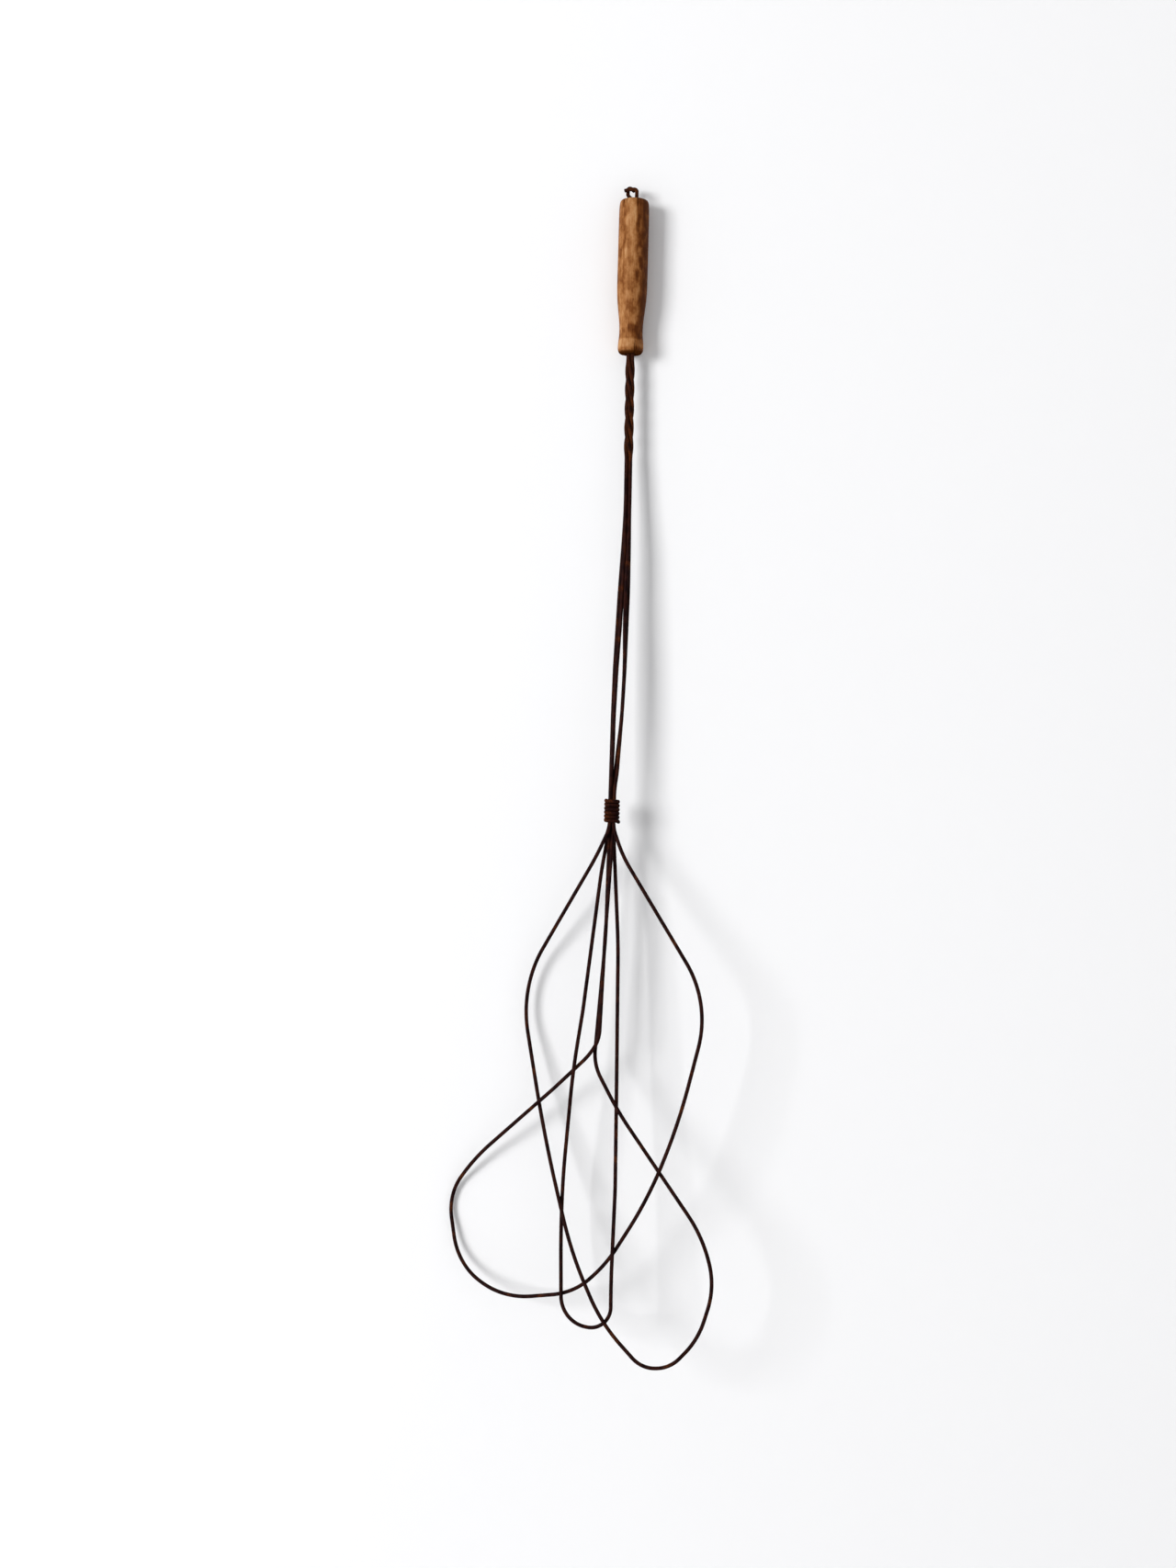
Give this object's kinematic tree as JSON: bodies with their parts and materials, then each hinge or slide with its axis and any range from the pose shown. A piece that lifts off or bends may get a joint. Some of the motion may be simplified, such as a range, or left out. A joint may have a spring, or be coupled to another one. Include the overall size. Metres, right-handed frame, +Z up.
{
  "type": "wire rug beater",
  "caption": "Long wire rug beater: a turned wood handle on twisted wire strands, a wire binding, and a flat head of interlaced wire loops.",
  "frame": {"origin": "the point in the hanging eye where a nail carries the beater, between the two hooked wire ends above the handle", "axes": "+Z up along the handle towards the hanging eye, +X to the right along the wall it hangs on, +Y into that wall"},
  "size_m": [0.1843, 0.0664, 0.8171],
  "materials": {
    "wood": "worn stained wood, satin, grimy at the lower end",
    "wire": "dark aged iron wire with rust patches"
  },
  "bodies": {
    "root": {"handle": "wood", "left_loop_wire": "wire", "right_loop_wire": "wire", "centre_loop_wire": "wire", "binding_wire": "wire"}
  },
  "joints": []
}
